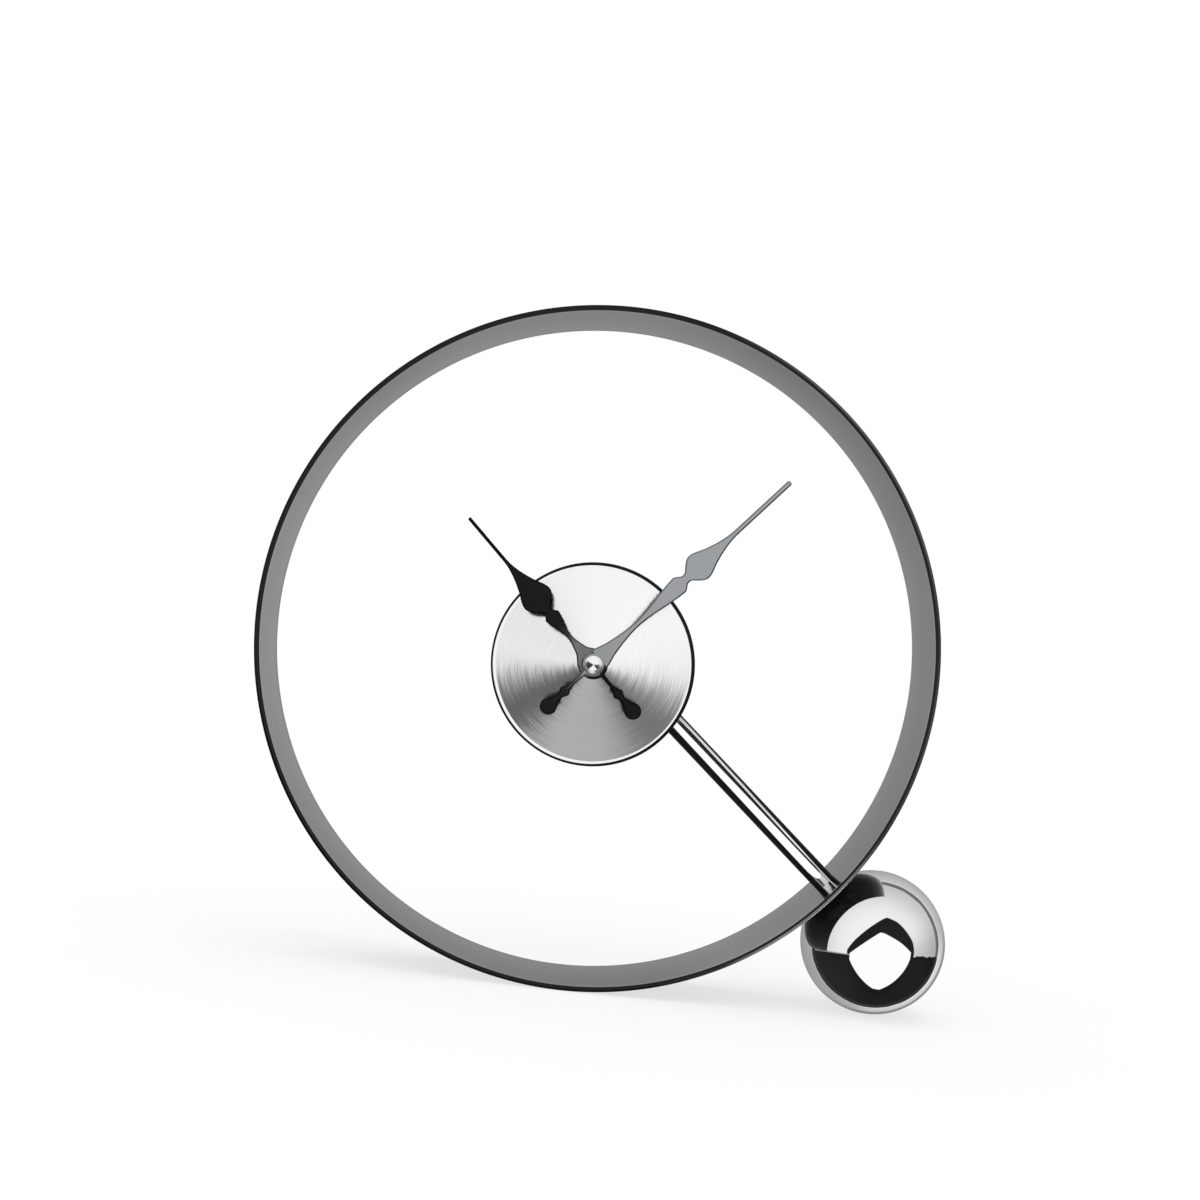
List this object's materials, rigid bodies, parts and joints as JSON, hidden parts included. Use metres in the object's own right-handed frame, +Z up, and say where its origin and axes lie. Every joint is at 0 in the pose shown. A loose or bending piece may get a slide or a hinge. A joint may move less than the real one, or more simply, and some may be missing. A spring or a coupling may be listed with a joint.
{
  "type": "table clock",
  "caption": "Open-frame table clock: a drum case with two hands held inside an upright steel hoop by a tube from a polished ball.",
  "frame": {"origin": "middle of the whole clock's box, at the height of the table that the hoop and the ball stand on", "axes": "+X to the right seen from the front, from the hoop towards the ball; +Y from front to back, along the hoop's and the hands' axes; +Z up"},
  "size_m": [0.299, 0.06, 0.28],
  "materials": {
    "hoop_steel": "smoke-grey satin steel band",
    "mirror_chrome": "mirror polished",
    "tube_chrome": "bright polished",
    "bright_steel": "zinc plated",
    "brushed_dial": "circular brushed face, polished edge",
    "rubber": "matt",
    "brass": "turned",
    "nickel": "nickel plated",
    "housing_plastic": "moulded, fine texture",
    "frame_plastic": "moulded",
    "gear_plastic": "natural acetal",
    "soft_iron": "stamped",
    "copper_wire": "enamelled copper wire",
    "board_green": "solder mask",
    "chip_black": "epoxy drop",
    "magnet": "sintered",
    "battery_skin": "plain dark sleeve, bare steel ends",
    "hand_dark": "polished black nickel",
    "hand_grey": "polished black nickel"
  },
  "bodies": {
    "clock_frame": {"ring": "hoop_steel", "ball": "mirror_chrome", "support_tube": "tube_chrome", "tie_rod": "bright_steel", "tie_washer": "bright_steel", "tie_nut": "bright_steel", "case_shell": "brushed_dial", "case_gasket": "rubber", "dial_washer": "brass", "dial_nut": "brass", "fixing_bush": "brass", "movement_front": "housing_plastic", "movement_rear": "housing_plastic", "gear_plate": "frame_plastic", "train_bridge": "frame_plastic", "stator": "soft_iron", "coil_core": "soft_iron", "coil_bobbin": "frame_plastic", "coil_winding": "copper_wire", "circuit_board": "board_green", "quartz_crystal": "nickel", "clock_chip": "chip_black", "positive_contact": "brass", "negative_contact": "nickel"},
    "minute_group": {"minute_hand": "hand_grey", "hand_washer": "tube_chrome", "cap_nut": "tube_chrome", "minute_arbor": "brass"},
    "hour_group": {"hour_hand": "hand_dark", "hour_wheel": "gear_plastic"},
    "motion_gear": {"motion_wheel": "gear_plastic"},
    "setting_shaft": {"setting_knob": "frame_plastic"},
    "centre_gear": {"centre_wheel": "gear_plastic"},
    "third_gear": {"third_wheel": "gear_plastic"},
    "fourth_gear": {"fourth_wheel": "gear_plastic"},
    "fifth_gear": {"fifth_wheel": "gear_plastic"},
    "motor_rotor": {"rotor": "gear_plastic", "rotor_magnet": "magnet"},
    "battery_cell": {"battery": "battery_skin"}
  },
  "joints": [
    {"name": "minute_hand_turn", "type": "hinge", "parent": "clock_frame", "child": "minute_group", "pos_m": [-0.01064, 0, 0.1336], "axis": [0, 1, 0], "continuous": true},
    {"name": "hour_hand_turn", "type": "hinge", "parent": "clock_frame", "child": "hour_group", "pos_m": [-0.01064, 0, 0.1336], "axis": [0, 1, 0], "continuous": true},
    {"name": "motion_wheel_turn", "type": "hinge", "parent": "clock_frame", "child": "motion_gear", "pos_m": [-0.01584, 0, 0.1366], "axis": [0, 1, 0], "continuous": true},
    {"name": "setting_knob_turn", "type": "hinge", "parent": "clock_frame", "child": "setting_shaft", "pos_m": [-0.02104, 0, 0.1396], "axis": [0, 1, 0], "continuous": true},
    {"name": "rotor_turn", "type": "hinge", "parent": "clock_frame", "child": "motor_rotor", "pos_m": [-0.00475, 0, 0.14382], "axis": [0, 1, 0], "continuous": true},
    {"name": "fifth_wheel_turn", "type": "hinge", "parent": "clock_frame", "child": "fifth_gear", "pos_m": [-0.00715, 0, 0.13966], "axis": [0, 1, 0], "continuous": true},
    {"name": "fourth_wheel_turn", "type": "hinge", "parent": "clock_frame", "child": "fourth_gear", "pos_m": [-0.01064, 0, 0.1336], "axis": [0, 1, 0], "continuous": true},
    {"name": "third_wheel_turn", "type": "hinge", "parent": "clock_frame", "child": "third_gear", "pos_m": [-0.01741, 0, 0.13114], "axis": [0, 1, 0], "continuous": true},
    {"name": "centre_wheel_turn", "type": "hinge", "parent": "clock_frame", "child": "centre_gear", "pos_m": [-0.01064, 0, 0.1336], "axis": [0, 1, 0], "continuous": true},
    {"name": "battery_slide", "type": "slide", "parent": "clock_frame", "child": "battery_cell", "axis": [0, 1, 0], "range_m": [0, 0.02]}
  ],
  "couplings": [
    {"joint": "hour_hand_turn", "follows": "minute_hand_turn", "ratio": 0.083333},
    {"joint": "motion_wheel_turn", "follows": "minute_hand_turn", "ratio": -0.33333},
    {"joint": "setting_knob_turn", "follows": "minute_hand_turn", "ratio": 1},
    {"joint": "fifth_wheel_turn", "follows": "rotor_turn", "ratio": -0.2},
    {"joint": "fourth_wheel_turn", "follows": "rotor_turn", "ratio": 0.033333},
    {"joint": "third_wheel_turn", "follows": "rotor_turn", "ratio": -0.0044444},
    {"joint": "centre_wheel_turn", "follows": "rotor_turn", "ratio": 0.00055556}
  ]
}
